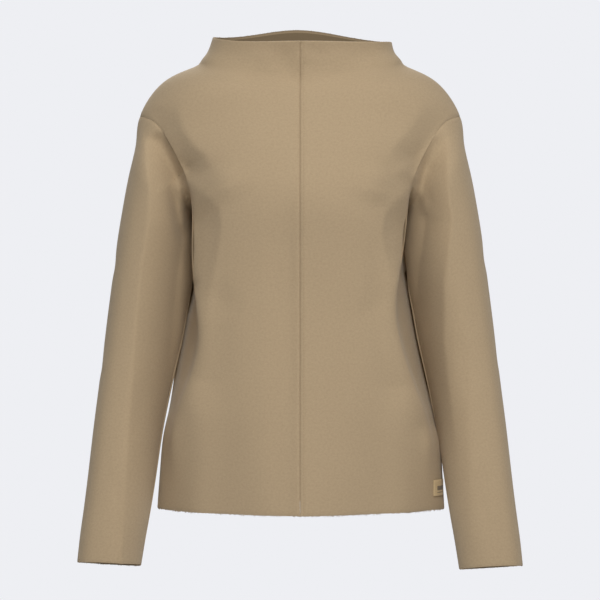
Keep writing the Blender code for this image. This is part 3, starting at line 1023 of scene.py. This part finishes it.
TORSO = ("front_left", "front_right", "back")
Fray = namedtuple("Fray", "name pieces facing spacing shortest longest")
FRAYS = (
    Fray("hem_fray", TORSO, -1, 0.42, 0.6, 2.5),
    Fray("cuff_fray_left", ("sleeve_left",), -1, 0.42, 0.3, 1.2),
    Fray("cuff_fray_right", ("sleeve_right",), -1, 0.42, 0.3, 1.2),
    Fray("neck_fray", TORSO, 1, 0.7, 0.3, 1.0),
)
FRAY_WIDTHS = (0.55, 0.5, 0.2)
FRAY_ROOT = 0.5
FRAY_FACING = 0.6  # how squarely an edge has to face up or down to be frayed
FRAY_SPREAD = 0.45
FRAY_CURL = 0.3
TUFT_PITCH = 3.1 * MM
TUFT_SPACING = (0.5, 1.5)
TUFT_SHARES = (0.2, 1.0)
ROOT_DEPTHS = (0.1, 0.9)  # where in the cloth's thickness a fibre starts
FRAY_TAN = (0.30, 0.22, 0.13, 1.0)

frayed_yarn = thread_finish("frayed_yarn", FRAY_TAN)
chance = random.Random(4)
for fray in FRAYS:
    points, faces = [], []
    tuft, until_tuft = 1.0, 0.0
    for name in fray.pieces:
        for edge in raw_edges[name]:
            if edge.beyond.z * fray.facing < FRAY_FACING:
                continue
            run = edge.end - edge.start
            for _ in range(max(1, round(run.length / (fray.spacing * MM)))):
                until_tuft -= fray.spacing * MM
                if until_tuft < 0:
                    until_tuft = TUFT_PITCH * chance.uniform(*TUFT_SPACING)
                    tuft = chance.uniform(*TUFT_SHARES)
                into = -edge.normal * CLOTH_WALL * chance.uniform(*ROOT_DEPTHS)
                root = edge.start + run * chance.random() + into
                spread = run.normalized() * chance.uniform(-FRAY_SPREAD, FRAY_SPREAD)
                spread += edge.normal * chance.uniform(-FRAY_SPREAD, FRAY_SPREAD) / 2
                way = (edge.beyond + spread).normalized()
                curl = run.normalized() * chance.uniform(-FRAY_CURL, FRAY_CURL)
                reach = tuft * chance.uniform(fray.shortest, fray.longest) * MM
                centres = [
                    root - way * FRAY_ROOT * MM,
                    root + way * reach / 2,
                    root + (way + curl) * reach,
                ]
                thread(points, faces, centres, [width * MM for width in FRAY_WIDTHS])
    threads_object(fray.name, points, faces, frayed_yarn)

# ---------------------------------------------------------------------------------------
# Label. A small woven tab of gold-tan ribbon, folded in two with its ends caught in the
# left side seam just above the hem. Two plain darker bars are woven into it.
# ---------------------------------------------------------------------------------------

LABEL_LEFT = 171.0 * MM
LABEL_RIGHT = 184.5 * MM
LABEL_TOP = -511.5 * MM
LABEL_BOTTOM = -532.5 * MM
LABEL_ACROSS = 12
LABEL_UP = 10
LABEL_CLEARANCE = 0.45 * MM
LABEL_WALL = 0.7 * MM
LABEL_GOLD = (0.70, 0.54, 0.31, 1.0)
LABEL_SHADE = (0.50, 0.37, 0.20, 1.0)
BAR_DARK = (0.10, 0.078, 0.062, 1.0)
RIBS_ACROSS = 24.0
RIBS_UP = RIBS_ACROSS * 1.6
# The bars, as shares of the label's width and height.
Bar = namedtuple("Bar", "left right bottom top")
BARS = (Bar(0.36, 0.92, 0.36, 0.62), Bar(0.36, 0.9, 0.2, 0.25))

ribbon = bmesh.new()
across_label = ribbon.loops.layers.uv.new("cut")
layers = []
for lift in (LABEL_CLEARANCE, LABEL_CLEARANCE + LABEL_WALL):
    grid = []
    for up in range(LABEL_UP + 1):
        z = LABEL_BOTTOM + (LABEL_TOP - LABEL_BOTTOM) * up / LABEL_UP
        row = []
        for across in range(LABEL_ACROSS + 1):
            x = LABEL_LEFT + (LABEL_RIGHT - LABEL_LEFT) * across / LABEL_ACROSS
            hit, normal, _, _ = front_tree.ray_cast(Vector((x, -1, z)), AHEAD)
            row.append(ribbon.verts.new(hit + normal * lift))
        grid.append(row)
    layers.append(grid)
below, above = layers
for up in range(LABEL_UP):
    for across in range(LABEL_ACROSS):
        corners = ((up, across), (up, across + 1), (up + 1, across + 1), (up + 1, across))
        for side, order in ((above, corners), (below, corners[::-1])):
            face = ribbon.faces.new([side[i][j] for i, j in order])
            for loop, (i, j) in zip(face.loops, order):
                loop[across_label].uv = (j / LABEL_ACROSS, i / LABEL_UP)
border = [(0, j) for j in range(LABEL_ACROSS)]
border += [(i, LABEL_ACROSS) for i in range(LABEL_UP)]
border += [(LABEL_UP, j) for j in range(LABEL_ACROSS, 0, -1)]
border += [(i, 0) for i in range(LABEL_UP, 0, -1)]
for (i, j), (k, m) in zip(border, border[1:] + border[:1]):
    ribbon.faces.new([above[k][m], above[i][j], below[i][j], below[k][m]])
label = bpy.data.objects.new("woven_label", bpy.data.meshes.new("woven_label"))
ribbon.to_mesh(label.data)
ribbon.free()
label.data.shade_smooth()
bpy.context.scene.collection.objects.link(label)

finish = Finish(bpy.data.materials.new("woven_ribbon"))
place = finish.node("ShaderNodeUVMap", {"uv_map": "cut"}, {}, "UV")
across = finish.node("ShaderNodeSeparateXYZ", {}, {0: place})
up = Wire(finish, across.socket.node.outputs[1])
ribs = (across * (2 * pi * RIBS_ACROSS)).math("SINE") * (up * (2 * pi * RIBS_UP)).math("SINE")
gold = finish.mixed(ribs * 0.4 + 0.5, LABEL_SHADE, LABEL_GOLD)
marked = 0.0
for bar in BARS:
    inside = across.math("GREATER_THAN", bar.left) * across.math("LESS_THAN", bar.right)
    inside = inside * up.math("GREATER_THAN", bar.bottom) * up.math("LESS_THAN", bar.top)
    marked = inside + marked
gold = finish.mixed(marked * 0.85, gold, BAR_DARK)
bump = finish.node("ShaderNodeBump", {}, {"Height": ribs, "Strength": 0.4, "Distance": 0.1 * MM})
finish.fill(
    finish.shader, {"Base Color": gold, "Roughness": 0.62, "Normal": bump, "Sheen Weight": 0.1}
)
label.data.materials.append(finish.owner)
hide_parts("label")
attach(label, "root")

# ---------------------------------------------------------------------------------------
# Camera, light and floor. A level camera in front at the height of the waist, soft lights
# above in front and behind, and a plain pale floor below the garment.
# ---------------------------------------------------------------------------------------

CAMERA_PLACE = (0.0, -3.1, -0.28)
VIEW_WIDTH = 0.78
SENSOR = 36.0

camera = bpy.data.objects.new("camera", bpy.data.cameras.new("camera"))
camera.location = CAMERA_PLACE
camera.rotation_euler = (pi / 2, 0, 0)
camera.data.sensor_width = SENSOR
camera.data.lens = SENSOR * -CAMERA_PLACE[1] / VIEW_WIDTH
bpy.context.scene.collection.objects.link(camera)
bpy.context.scene.camera = camera

Lamp = namedtuple("Lamp", "name place size watts colour")
LAMPS = (
    Lamp("key", (0.3, -2.9, 1.4), 1.1, 69.5, (1.0, 0.985, 0.965)),
    Lamp("overhead", (0.3, -1.1, 2.5), 2.2, 26.0, (1.0, 0.99, 0.975)),
    Lamp("back_light", (-0.4, 2.8, 1.6), 1.6, 64.0, (1.0, 1.0, 1.0)),
)
AIM = Vector((0, 0, -0.3))
for lamp in LAMPS:
    light = bpy.data.objects.new(lamp.name, bpy.data.lights.new(lamp.name, "AREA"))
    light.location = lamp.place
    light.rotation_euler = (AIM - Vector(lamp.place)).to_track_quat("-Z", "Y").to_euler()
    light.data.size = lamp.size
    light.data.energy = lamp.watts
    light.data.color = lamp.colour
    bpy.context.scene.collection.objects.link(light)

FLOOR_LEVEL = -1.15
FLOOR_RADIUS = 2.8
FLOOR_PALE = (0.82, 0.82, 0.83, 1.0)
floor_mesh = bmesh.new()
bmesh.ops.create_circle(floor_mesh, cap_ends=True, segments=96, radius=FLOOR_RADIUS)
floor = bpy.data.objects.new("floor", bpy.data.meshes.new("floor"))
floor_mesh.to_mesh(floor.data)
floor_mesh.free()
floor.location = (0, 0, FLOOR_LEVEL)
pale = Finish(bpy.data.materials.new("pale_floor"))
pale.fill(pale.shader, {"Base Color": FLOOR_PALE, "Roughness": 0.9})
floor.data.materials.append(pale.owner)
bpy.context.scene.collection.objects.link(floor)

# The camera sees a plain pale backdrop, and the garment is lit by a dimmer one.
BACKDROP_PALE = (0.855, 0.863, 0.896, 1.0)
AMBIENT_PALE = (0.86, 0.87, 0.9, 1.0)
AMBIENT_STRENGTH = 0.25

studio = Finish(bpy.data.worlds.new("studio"), "Background")
studio.fill(studio.shader, {"Color": BACKDROP_PALE})
backdrop = Wire(studio, studio.shader.outputs[0])
ambient = studio.node(
    "ShaderNodeBackground", {}, {"Color": AMBIENT_PALE, "Strength": AMBIENT_STRENGTH}
)
seen = studio.node("ShaderNodeLightPath", {}, {}, "Is Camera Ray")
both = studio.node("ShaderNodeMixShader", {}, {0: seen, 1: ambient, 2: backdrop})
studio.fill(studio.tree.nodes["World Output"], {0: both})
bpy.context.scene.world = studio.owner
bpy.context.scene.view_settings.view_transform = "Standard"
